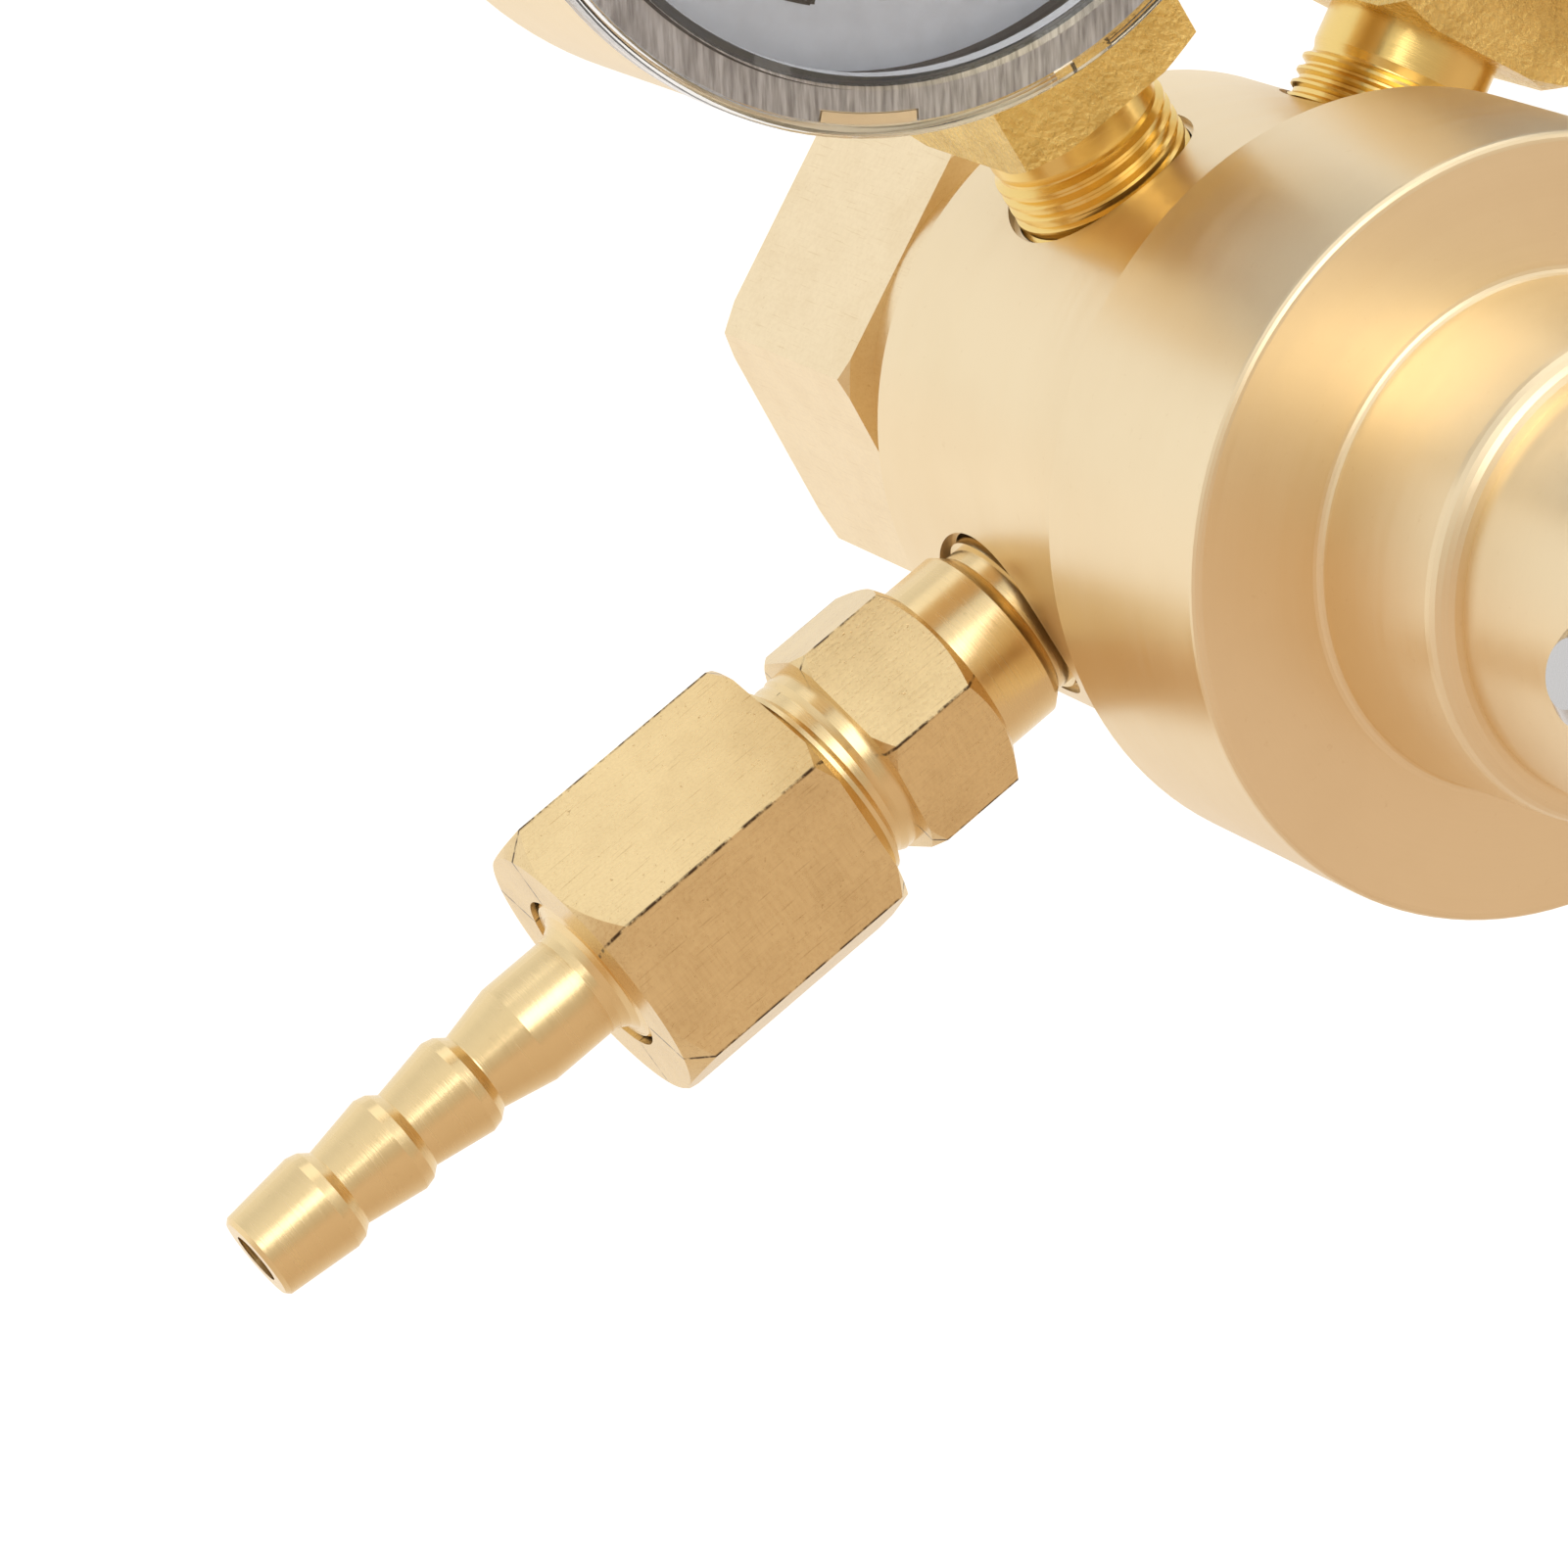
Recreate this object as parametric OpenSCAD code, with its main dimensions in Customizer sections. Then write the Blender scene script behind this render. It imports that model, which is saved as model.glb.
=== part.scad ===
// Single-stage nitrogen regulator with two gauges, hose tail outlet and cylinder inlet.
// The bonnet faces -Y, the gauges stand up along +Z and the inlet leaves along +X.
// The origin is on the inlet axis, where the inlet nut's thread leaves its hexagon.
// Port profiles run outward from the body axis, bonnet profiles run forward from the port plane.

/* [Body] */
// Diameter of the round body
body_d = 45; // [44:0.5:48]
// Port plane to the rear face of the body
body_back = 12.2; // [11:0.1:16]
// Port plane to the rear rim of the bonnet
bonnet_gap = 17.7; // [15:0.1:22]
// Length of the body's thread inside the bonnet
body_thread = 8.8; // [6:0.1:12]
// Break on the body's rear edge
body_edge = 0.6; // [0.2:0.1:1.2]
// Diameter of the recess round each port
spot_d = 14; // [13.6:0.1:15]
// Depth of that recess below the crown of the body
spot_depth = 1.6; // [1.2:0.1:2.4]
// Distance of the port floors from the body axis
port_floor = 14.4; // [14:0.1:16]
// Diameter of the high-pressure chamber
chamber_d = 17; // [15:0.5:18]
// Depth of the high-pressure chamber ahead of the port plane
chamber_front = 8; // [7:0.5:9]
// Thickness of the web that carries the nozzle
web_t = 9; // [8:0.5:10]
// Diameter of the low-pressure chamber
low_chamber_d = 36; // [34:0.5:38]
// Diameter of the gas drillings
drill_d = 3.6; // [2.5:0.1:3.8]

/* [Rear cap] */
// Width across the flats of the rear hexagon
cap_af = 33.3; // [27:0.1:50]
// Thickness of the rear hexagon
cap_t = 18.7; // [10:0.1:24]
// Chamfer on the rear corners
cap_chamfer = 0.8; // [0.3:0.1:3]
// Turn of the hexagon about the body axis in degrees
cap_turn = 57; // [0:1:59]
// Length of the neck between the body and the hexagon
cap_neck = 11; // [0.5:0.5:20]
// Diameter of that neck
cap_neck_d = 33; // [32.8:0.1:34]
// Thread diameter of the cap's spigot
cap_spigot_d = 26; // [24:0.5:27]
// Length of the spigot
cap_spigot = 5.7; // [4:0.1:6]
// Thickness of the cap's sealing ring
cap_seal_t = 1.24; // [1:0.02:1.6]

/* [Bonnet] */
// Large diameter of the bonnet
bonnet_d = 52; // [50:0.5:58]
// Length of the large diameter
bonnet_len = 18.3; // [16:0.1:26]
// Diameter of the boss at its root
boss_d = 33.8; // [32:0.1:38]
// Narrowing of the boss diameter at its end
boss_draft = 1; // [0:0.1:2]
// Length of the boss
boss_len = 12.6; // [10:0.1:20]
// Diameter of the nose
nose_d = 29.2; // [28:0.1:30]
// Length of the nose
nose_len = 13; // [11:0.5:20]
// Rounding of the large front edge and of the boss root
bonnet_round = 0.6; // [0.3:0.1:1.6]
// Rounding on the front edge of the boss
boss_round = 1.6; // [0.4:0.1:1.7]
// Height of the cone between the large edge and the boss
face_rise = 0.4; // [0:0.1:1]
// Diameter of the range spring's chamber
spring_bore_d = 24.6; // [23:0.1:25.4]
// Wall at the front of the nose, which holds the screw's thread
nose_wall = 5; // [4:0.5:7]

/* [Diaphragm] */
// Thickness of the diaphragm
diaphragm_t = 0.8; // [0.5:0.1:1.2]
// Height of the diaphragm's roll
roll_h = 1.2; // [0.8:0.1:1.6]
// Thickness of the slip ring
slip_t = 1; // [0.6:0.1:1.5]
// Diameter of the pressure plate
plate_d = 22; // [20:0.5:23]
// Thickness of the pressure plate
plate_t = 2; // [1.5:0.1:3]
// Diameter of the stud through the diaphragm
stud_d = 5; // [4:0.1:6]

/* [Range spring] */
// Wire diameter of the range spring
range_wire = 2.6; // [2:0.1:2.8]
// Mean diameter of the range spring
range_mean_d = 18; // [17:0.5:19]
// Length of the range spring with the screw backed off
range_len = 22; // [20:0.5:23]
// Turns of the range spring
range_turns = 5; // [4:0.5:6]
// Thickness of the spring button
button_t = 4; // [3:0.5:5]

/* [Adjusting screw] */
// Thread diameter of the adjusting screw
screw_d = 12; // [10:0.5:12]
// Free length of the screw ahead of the nose
screw_free = 16; // [14:0.5:30]
// Diameter of the screw's head
hub_d = 16; // [14:0.5:20]
// Length of the screw's head
hub_len = 13; // [11:0.5:18]
// Diameter of the cross bar
bar_d = 6; // [5:0.1:8]
// Length of the cross bar
bar_len = 62; // [50:1:80]
// Turn of the cross bar about the body axis in degrees
bar_turn = 14; // [0:1:180]

/* [Valve] */
// Diameter of the nozzle's thread
nozzle_d = 10; // [9:0.5:11]
// Diameter of the nozzle's orifice
orifice_d = 3.2; // [2.8:0.1:3.6]
// Width across the flats of the nozzle
nozzle_af = 13; // [12:0.5:15]
// Distance of the nozzle's lip ahead of the port plane
lip_at = 6.2; // [5.8:0.1:6.6]
// Diameter of the valve pin
pin_d = 2; // [1.6:0.1:2.2]
// Diameter of the poppet
poppet_d = 10.4; // [10:0.1:12]
// Diameter of the poppet's tail
tail_d = 7; // [6:0.1:7.4]
// Thickness of the seat disc
seat_t = 2; // [1.5:0.1:2.5]
// Wire diameter of the poppet spring
poppet_wire = 0.8; // [0.6:0.1:0.9]

/* [Inlet] */
// Body axis to the face of the nut's hexagon
inlet_reach = 56; // [52:0.5:70]
// Diameter of the nipple's stem
nipple_d = 13.6; // [12:0.1:14]
// Width across the flats of the nipple's hexagon
nipple_af = 17.5; // [16:0.5:19]
// Length of the nipple's hexagon
nipple_hex = 8; // [6:0.5:10]
// Width across the flats of the nut
inlet_af = 28.6; // [27:0.1:32]
// Length of the nut's hexagon
inlet_hex = 12; // [8:0.5:15]
// Diameter of the nut's thread
inlet_thread_d = 22.9; // [22:0.1:26]
// Length of the nut's thread
inlet_thread = 15; // [12:0.5:18]
// Diameter of the nipple's rounded nose
bullet_d = 16; // [15:0.1:16.6]
// How far the nose stands out of the nut
bullet_out = 5; // [2:0.5:8]
// Diameter of the inlet filter
filter_d = 6; // [4:0.5:7]
// Length of the inlet filter
filter_len = 12; // [8:0.5:14]

/* [Outlet] */
// Direction of the outlet about the body axis in degrees
outlet_angle = 210; // [200:1:230]
// Diameter of the plain collar
collar_d = 13.5; // [13:0.1:14]
// Body axis to the face of the adapter's hexagon
adapter_at = 28.4; // [27:0.1:32]
// Width across the flats of the adapter
adapter_af = 16; // [15.5:0.1:18]
// Length of the adapter's hexagon
adapter_hex = 8.5; // [6:0.1:12]
// Turn of the adapter's hexagon in degrees
adapter_turn = 49; // [0:1:59]
// Diameter of the outlet thread
outlet_thread_d = 15.9; // [14:0.1:16]
// Length of the outlet thread
outlet_thread = 9.4; // [8:0.1:12]
// Body axis to the near end of the outlet nut
nut_at = 41; // [40:0.1:45]
// Width across the flats of the outlet nut
nut_af = 20; // [19:0.1:24]
// Length of the outlet nut
nut_len = 19.1; // [18:0.1:24]
// Turn of the outlet nut in degrees
nut_turn = 4; // [0:1:59]
// Diameter of the hole in the nut's lip
nut_hole_d = 12.4; // [11:0.1:13]
// Length of the nut's thread
nut_thread = 12; // [11:0.1:14]

/* [Hose tail] */
// Diameter of the tail's root
root_d = 7.8; // [7:0.1:9]
// Straight length of the root
root_len = 5; // [3:0.1:8]
// Diameter over the barbs
barb_d = 7.6; // [7:0.1:9]
// Diameter between the barbs
neck_d = 6.1; // [5.6:0.1:7]
// Number of barbs
barbs = 3; // [2:1:5]
// Distance from barb to barb
barb_pitch = 5.95; // [5:0.05:8]
// Diameter of the tail's tip
tip_d = 6.6; // [6:0.1:7]
// Diameter of the bore at the tip
tail_bore_d = 3.7; // [3:0.1:4]

/* [Gauges] */
// Direction of the delivery gauge about the body axis in degrees
low_gauge_angle = 120; // [115:1:125]
// Direction of the cylinder gauge about the body axis in degrees
high_gauge_angle = 60; // [55:1:65]
// Gap between the two lenses
gauge_gap = 6; // [2:0.5:16]
// Diameter of the gauge case
case_d = 58.6; // [58:0.1:62]
// Depth of the case behind the stem's axis
case_back = 9.5; // [9.2:0.1:14]
// Depth of the case ahead of the stem's axis, up to its shoulder
case_shoulder = 11.6; // [11:0.1:16]
// Step from the case in to its neck
neck_step = 1; // [0.8:0.1:1.6]
// Length of the neck
neck_len = 1.9; // [1.6:0.1:3]
// Wall of the case
case_wall = 0.8; // [0.6:0.1:1.5]
// Rounding of the case's rear edge
case_round = 3; // [1.5:0.1:5]
// Thickness of the steel band round the case's neck
band_t = 0.3; // [0.2:0.05:0.6]
// Thickness of the lens's skirt
skirt_t = 0.8; // [0.7:0.1:1.5]
// Height of the lens above the case's mouth
lens_h = 1.4; // [1.4:0.1:3]
// Thickness of the lens's window
window_t = 1.6; // [1.2:0.1:2.2]
// Gap between the rim of the window and the case's neck
rim_gap = 2.1; // [2:0.1:3]
// Width of the socket across the dial
socket_w = 15.2; // [14:0.1:18]
// Depth of the socket from front to back
socket_t = 17; // [15:0.1:18]
// Body axis to the socket's lower face
socket_at = 28.8; // [28:0.1:31]
// Diameter of the stem's thread
stem_d = 13; // [12:0.1:13.1]
// Length of the pointer from its axis
pointer_len = 20.5; // [16:0.5:23]

/* [Hidden] */
$fn = 64;
e = 0.01;
fit = 0.06;
slack = 0.3;
body_r = body_d / 2;
body_front = bonnet_gap + body_thread;
bonnet_r = bonnet_d / 2;
boss_r = boss_d / 2;
nose_r = nose_d / 2;
boss_end_r = boss_r - boss_draft / 2;
bonnet_face = bonnet_gap + bonnet_len;
boss_root = bonnet_face + face_rise;
boss_end = boss_root + boss_len;
nose_end = boss_end + nose_len;
clamp_s = body_front + diaphragm_t + slip_t;
clamp_r = low_chamber_d / 2;
spring_front = nose_end - nose_wall;
chamber_r = chamber_d / 2;
low_back = chamber_front + web_t;
port_r = stem_d / 2 + 0.1;
passage_r = port_floor - drill_d / 2 + 0.2;

// Threads of the ports
stem_r = stem_d / 2;
stem_in = port_floor + slack;
stem_neck_r = stem_r - 0.3;
stem_thread_out = 25.4;
outlet_spigot_r = stem_r - 0.2;

// Diaphragm stack, given as distances ahead of the port plane
sheet_front = body_front + diaphragm_t;
plate_front = sheet_front + plate_t;
washer_t = 1;
washer_r = 8;
stud_back = body_front - washer_t - 0.3;
roll_r = (plate_d / 2 + clamp_r) / 2;
sheet_r = body_r - 0.3;
slip_r = clamp_r + 0.8;
guide_h = 2;

// Range spring and screw
range_r = range_mean_d / 2;
guide_r = range_r - range_wire / 2 - slack;
button_back = plate_front + range_len;
button_front = button_back + button_t;
button_r = spring_bore_d / 2 - 0.4;
dimple_r = 4;
dimple_h = 1.5;
screw_tip = button_front - dimple_h;
screw_r = screw_d / 2;
hub_back = nose_end + screw_free - 2;
hub_front = hub_back + hub_len;
bar_s = (hub_back + hub_front) / 2;

// Valve train
lip_r = orifice_d / 2 + 0.8;
seat_front = lip_at - 0.1;
seat_back = seat_front - seat_t;
seat_r = poppet_d / 2 - 1.2;
poppet_front = seat_front - 0.3;
poppet_back = -2;
cap_front = cap_spigot - body_back;
tail_end = cap_front - 6;
tail_bore_end = tail_end - 2;
pin_in = seat_back - 1.5;
poppet_spring_r = tail_d / 2 + poppet_wire / 2 + 0.5;
nozzle_flange = 3;
nozzle_bore_d = 6;

// Rear cap
cap_r = cap_af / sqrt(3);
cap_back = -body_back - cap_neck - cap_t;
seal_r = cap_spigot_d / 2 + 2.4;

// Inlet nipple and nut
inlet_out = inlet_reach + inlet_thread;
nipple_r = nipple_d / 2;
nipple_hex_end = body_r + 0.5 + nipple_hex;
nut_seat = inlet_out - 9;
bullet_r = bullet_d / 2;
bullet_tip = inlet_out + bullet_out;
filter_back = bullet_tip - 8 - filter_len;
nut_back = inlet_reach - inlet_hex;

// Outlet adapter, nut and hose tail
adapter_end = adapter_at + adapter_hex;
thread_start = adapter_end + 1.1;
adapter_tip = thread_start + outlet_thread;
seat_cone_r = 5;
flange_front = nut_at + nut_thread;
flange_r = outlet_thread_d / 2 - 0.9;
nut_end = nut_at + nut_len;
tail_r = nut_hole_d / 2 - slack;
root_at = nut_end + 1.4;
first_barb = root_at + root_len + 5.45;
tail_tip = first_barb + (barbs - 1) * barb_pitch + 5.7;

// Gauge
case_r = case_d / 2;
neck_r = case_r - neck_step;
neck_in_r = neck_r - case_wall;
case_front = case_shoulder + neck_len;
bezel_r = neck_in_r - 1.1;
skirt_in_r = neck_r + band_t + 0.1;
lens_r = skirt_in_r + skirt_t;
gauge_reach = (lens_r + gauge_gap / 2) / sin((low_gauge_angle - high_gauge_angle) / 2);
lens_front = case_front + lens_h;
window_front = lens_front - 0.5;
window_back = window_front - window_t;
dial_r = neck_in_r - 0.3;
dial_t = 0.5;
dial_s = window_back - 3;
movement_t = 0.9;
movement_back = -0.5;
movement_front = movement_back + 6.5;
block_in = 11;
tube_r = 20.2;
tube_w = 2.4;
tube_h = 7;
tube_s = movement_back + 1;
tube_from = -97;
tube_to = 185;
arbor_r = 0.6;
tooth_m = 0.3;
pinion_teeth = 10;
sector_teeth = 80;
pinion_r = tooth_m * pinion_teeth / 2;
sector_r = tooth_m * sector_teeth / 2;
pivot_d = pinion_r + sector_r + 0.05;
pivot_a = 235;
pivot = [pivot_d * cos(pivot_a), pivot_d * sin(pivot_a)];
sweep = 270;
zero_a = 225;
sector_sweep = sweep * pinion_teeth / sector_teeth;
gear_s = movement_back + 2.4;
gear_t = 0.8;
tail_a = 150;
tail_len = 7;
link_at = [pivot[0] + tail_len * cos(tail_a), pivot[1] + tail_len * sin(tail_a)];
link_pin_r = 0.5;

brass = [0.86, 0.70, 0.42];
satin_brass = [0.90, 0.78, 0.55];
raw_brass = [0.78, 0.63, 0.30];
steel = [0.66, 0.67, 0.68];
spring_steel = [0.42, 0.43, 0.45];
rubber = [0.10, 0.10, 0.10];

// Places
module at_port() {
    translate([-inlet_reach, 0, 0])
        children();
}
module forward() {
    rotate([90, 0, 0])
        children();
}
module along(angle) {
    rotate([0, 90 - angle, 0])
        children();
}
module at_gauge(angle) {
    at_port()
        along(angle)
            translate([0, 0, gauge_reach])
                forward()
                    children();
}

// Points of an arc about a centre
function arc(x, y, r, from, to, n = 4) =
    [for (i = [0:n]) [x + r * cos(from + (to - from) * i / n), y + r * sin(from + (to - from) * i / n)]];

module turned(points) {
    rotate_extrude()
        polygon(points);
}
module ring(inner, outer, from, to) {
    turned([[inner, from], [outer, from], [outer, to], [inner, to]]);
}
module rod(r, from, to) {
    translate([0, 0, from])
        cylinder(r = r, h = to - from);
}
// A hexagon whose two ends are cut by cones down to the given radii
module hexagon(af, from, to, from_r, from_c, to_r, to_c) {
    corner = af / sqrt(3) + e;
    intersection() {
        translate([0, 0, from])
            cylinder(d = 2 * af / sqrt(3), h = to - from, $fn = 6);
        turned([[0, from], [from_r, from], [corner, from + from_c], [corner, to - to_c], [to_r, to], [0, to]]);
    }
}
// Height along a spring whose end turns lie closed
function coil_z(t, turns, wire, len) =
    t < 1 ? wire / 2 + t * wire :
    t > turns - 1 ? len - wire / 2 - (turns - t) * wire :
    wire * 1.5 + (t - 1) * (len - 3 * wire) / (turns - 2);
module coil(mean_r, wire, turns, len, steps = 16, sides = 6) {
    n = round(turns * steps);
    points = [for (i = [0:n], j = [0:sides - 1])
        let (t = turns * i / n, a = 360 * t, b = 360 * j / sides, r = mean_r + wire / 2 * cos(b))
        [r * cos(a), r * sin(a), coil_z(t, turns, wire, len) + wire / 2 * sin(b)]];
    sides_a = [for (i = [0:n - 1], j = [0:sides - 1])
        [i * sides + j, (i + 1) * sides + j, (i + 1) * sides + (j + 1) % sides]];
    sides_b = [for (i = [0:n - 1], j = [0:sides - 1])
        [i * sides + j, (i + 1) * sides + (j + 1) % sides, i * sides + (j + 1) % sides]];
    start = [[for (j = [0:sides - 1]) j]];
    end = [[for (j = [sides - 1:-1:0]) n * sides + j]];
    polyhedron(points, concat(sides_a, sides_b, start, end));
}

// Body with its four ports
module port(angle) {
    along(angle) {
        rod(port_r, port_floor, body_r + 1);
        rod(spot_d / 2, body_r - spot_depth, body_r + 1);
    }
}
module body() {
    color(satin_brass)
        at_port()
            difference() {
                forward()
                    turned([[0, -body_back], [body_r - body_edge, -body_back],
                        [body_r, body_edge - body_back], [body_r, body_front], [0, body_front]]);
                forward()
                    rod(cap_spigot_d / 2 + fit, -body_back - 1, cap_front + 0.2);
                forward()
                    rod(chamber_r, -body_back, chamber_front);
                forward()
                    rod(nozzle_d / 2 + fit, 0, low_back + 1);
                forward()
                    rod(clamp_r, low_back, body_front + 1);
                for (angle = [0, high_gauge_angle, low_gauge_angle, outlet_angle])
                    port(angle);
                for (angle = [0, high_gauge_angle])
                    along(angle)
                        rod(drill_d / 2, 0, port_floor + 1);
                for (angle = [low_gauge_angle, outlet_angle]) {
                    along(angle)
                        rod(drill_d / 2, passage_r - drill_d / 2, port_floor + 1);
                    rotate([0, -angle, 0])
                        translate([passage_r, 0, 0])
                            forward()
                                rod(drill_d / 2, 0, low_back + 1);
                }
            }
}

// Hexagonal rear cap, which closes the high-pressure chamber and guides the poppet
module rear_cap() {
    color(satin_brass)
        at_port()
            forward()
                difference() {
                    union() {
                        rotate([0, 0, cap_turn])
                            hexagon(cap_af, cap_back, -body_back - cap_neck, cap_r - cap_chamfer * 1.4,
                                cap_chamfer, cap_r - 0.8, 0.4);
                        rod(cap_neck_d / 2, -body_back - cap_neck - 1, -body_back);
                        rod(cap_spigot_d / 2, -body_back - 1, cap_front);
                    }
                    rod(tail_d / 2 + fit, tail_bore_end, cap_front + 1);
                    translate([0, 0, -body_back - cap_seal_t - 0.06])
                        ring(seal_r - cap_seal_t / 2 - 0.1, seal_r + cap_seal_t / 2 + 0.1, 0, cap_seal_t + 1);
                }
}
module cap_seal() {
    color(rubber)
        at_port()
            forward()
                translate([0, 0, -body_back - cap_seal_t / 2 - 0.03])
                    rotate_extrude()
                        translate([seal_r, 0])
                            circle(d = cap_seal_t);
}

// Turned bonnet: a wide skirt over the body, a boss and a nose
module bonnet() {
    rear_break = 0.3;
    color(satin_brass)
        at_port()
            forward()
                difference() {
                    turned(concat(
                        [[0, bonnet_gap], [bonnet_r - rear_break, bonnet_gap], [bonnet_r, bonnet_gap + rear_break]],
                        arc(bonnet_r - bonnet_round, bonnet_face - bonnet_round, bonnet_round, 0, 90),
                        arc(boss_r + bonnet_round, boss_root + bonnet_round, bonnet_round, 270, 180),
                        arc(boss_end_r - boss_round, boss_end - boss_round, boss_round, 0, 90, 6),
                        [[nose_r, boss_end], [nose_r, nose_end - 1], [nose_r - 1, nose_end], [0, nose_end]]));
                    rod(body_r + fit, bonnet_gap - 1, clamp_s);
                    rod(slip_r, clamp_s - 1, clamp_s + 5);
                    rod(spring_bore_d / 2, clamp_s, spring_front);
                    rod(screw_r + fit, spring_front - 1, nose_end + 1);
                }
}

// Diaphragm with a rolled ring, and the parts clamped to it
module diaphragm() {
    t = diaphragm_t;
    r = roll_h;
    color(rubber)
        at_port()
            forward()
                turned(concat(
                    [[stud_d / 2 + fit, body_front], [roll_r - r, body_front]],
                    arc(roll_r, body_front, r, 180, 0, 6),
                    [[sheet_r, body_front], [sheet_r, sheet_front], [roll_r + r + t * 0.6, sheet_front]],
                    arc(roll_r, sheet_front, r + t * 0.4, 0, 180, 6),
                    [[stud_d / 2 + fit, sheet_front]]));
}
module pressure_plate() {
    color(steel)
        at_port()
            forward() {
                rod(plate_d / 2, sheet_front, plate_front);
                rod(guide_r, plate_front - e, plate_front + guide_h);
                rod(stud_d / 2, stud_back, sheet_front + e);
            }
}
module diaphragm_washer() {
    color(brass)
        at_port()
            forward()
                ring(stud_d / 2 + 0.02, washer_r, body_front - washer_t, body_front);
}
module slip_ring() {
    color(steel)
        at_port()
            forward()
                ring(slip_r, sheet_r, sheet_front, clamp_s);
}

// Range spring, the button that loads it, and the screw
module range_spring() {
    color(spring_steel)
        at_port()
            forward()
                translate([0, 0, plate_front])
                    coil(range_r, range_wire, range_turns, range_len);
}
module spring_button() {
    color(brass)
        at_port()
            forward()
                turned([[0, button_back - guide_h], [guide_r, button_back - guide_h], [guide_r, button_back],
                    [button_r, button_back], [button_r, button_front - 0.5], [button_r - 0.5, button_front],
                    [dimple_r, button_front], [0, screw_tip]]);
}
module adjusting_screw() {
    collar = 2;
    color(brass)
        at_port()
            forward()
                difference() {
                    turned([[0, screw_tip + slack], [dimple_r - 1, screw_tip + slack + dimple_h * (1 - 1 / dimple_r)],
                        [dimple_r - 1, button_front + 0.4],
                        [screw_r - 1, button_front + 0.4], [screw_r, button_front + 1.4],
                        [screw_r, hub_back - collar], [hub_d / 2 - 1, hub_back], [hub_d / 2, hub_back + 1],
                        [hub_d / 2, hub_front - 1], [hub_d / 2 - 1, hub_front], [0, hub_front]]);
                    translate([0, 0, bar_s])
                        rotate([0, 90, -bar_turn])
                            cylinder(d = bar_d + 0.06, h = hub_d + 2, center = true);
                }
}
module cross_bar() {
    end = 1;
    color(steel)
        at_port()
            forward()
                translate([0, 0, bar_s])
                    rotate([0, 90, -bar_turn])
                        turned([[0, -bar_len / 2], [bar_d / 2 - end, -bar_len / 2], [bar_d / 2, end - bar_len / 2],
                            [bar_d / 2, bar_len / 2 - end], [bar_d / 2 - end, bar_len / 2], [0, bar_len / 2]]);
}

// Nozzle, seat and poppet
module nozzle() {
    af_r = nozzle_af / sqrt(3);
    color(brass)
        at_port()
            forward()
                difference() {
                    union() {
                        turned([[0, lip_at], [orifice_d / 2 + 0.3, lip_at], [lip_r, lip_at + 0.8],
                            [nozzle_d / 2, lip_at + 0.8], [nozzle_d / 2, low_back + 0.5], [0, low_back + 0.5]]);
                        hexagon(nozzle_af, low_back, low_back + nozzle_flange, af_r, 0, af_r - 0.8, 0.5);
                    }
                    rod(orifice_d / 2, 0, low_back);
                    rod(nozzle_bore_d / 2, low_back - 4, low_back + nozzle_flange + 1);
                }
}
module seat_disc() {
    color([0.93, 0.92, 0.88])
        at_port()
            forward()
                ring(pin_d / 2 + 0.03, seat_r, seat_back, seat_front);
}
module poppet() {
    color(brass)
        at_port()
            forward()
                difference() {
                    union() {
                        rod(poppet_d / 2, poppet_back, poppet_front);
                        rod(tail_d / 2, tail_end, poppet_back + 1);
                    }
                    rod(seat_r + 0.03, seat_back, poppet_front + 1);
                    rod(pin_d / 2 + 0.03, pin_in, seat_back + 1);
                }
}
module valve_pin() {
    color(steel)
        at_port()
            forward()
                rod(pin_d / 2, pin_in, stud_back);
}
module poppet_spring() {
    color(spring_steel)
        at_port()
            forward()
                translate([0, 0, cap_front])
                    coil(poppet_spring_r, poppet_wire, 4, poppet_back - cap_front, steps = 14);
}

// Inlet nipple, its captive nut and the filter in its bore
module inlet_nipple() {
    shoulder = 3;
    nose_a = 62;
    color(brass)
        at_port()
            along(0)
                difference() {
                    union() {
                        rod(stem_r, stem_in, body_r + 1);
                        hexagon(nipple_af, body_r + 0.5, nipple_hex_end, nipple_r, 1, nipple_r, 1);
                        turned(concat(
                            [[0, nipple_hex_end - 1], [nipple_r, nipple_hex_end - 1], [nipple_r, nut_seat + slack],
                                [bullet_r - e, nut_seat + slack], [bullet_r, nut_seat + shoulder]],
                            arc(0, bullet_tip - bullet_r * sin(nose_a), bullet_r, 15, nose_a, 6),
                            [[0, bullet_tip]]));
                    }
                    rod(drill_d / 2, 0, bullet_tip + 1);
                    rod(filter_d / 2 + 0.03, filter_back, bullet_tip + 1);
                }
}
module inlet_filter() {
    dome = 2;
    color([0.62, 0.45, 0.25])
        at_port()
            along(0)
                difference() {
                    turned([[0, filter_back], [filter_d / 2, filter_back], [filter_d / 2, filter_back + filter_len - dome],
                        [filter_d / 4, filter_back + filter_len], [0, filter_back + filter_len]]);
                    rod(filter_d / 2 - 1.2, filter_back - 1, filter_back + filter_len - dome);
                }
}
module inlet_nut() {
    corner = inlet_af / sqrt(3);
    end = 1;
    color(brass)
        at_port()
            along(0)
                difference() {
                    union() {
                        hexagon(inlet_af, nut_back, inlet_reach, corner - 2, 1.2, corner - 2, 1.2);
                        turned([[0, inlet_reach - 1], [inlet_thread_d / 2, inlet_reach - 1],
                            [inlet_thread_d / 2, inlet_out - end], [inlet_thread_d / 2 - end, inlet_out], [0, inlet_out]]);
                    }
                    rod(nipple_r + 0.08, nut_back - 1, inlet_out + 1);
                    rod(bullet_r + slack, nut_seat, inlet_out + 1);
                }
}

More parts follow.
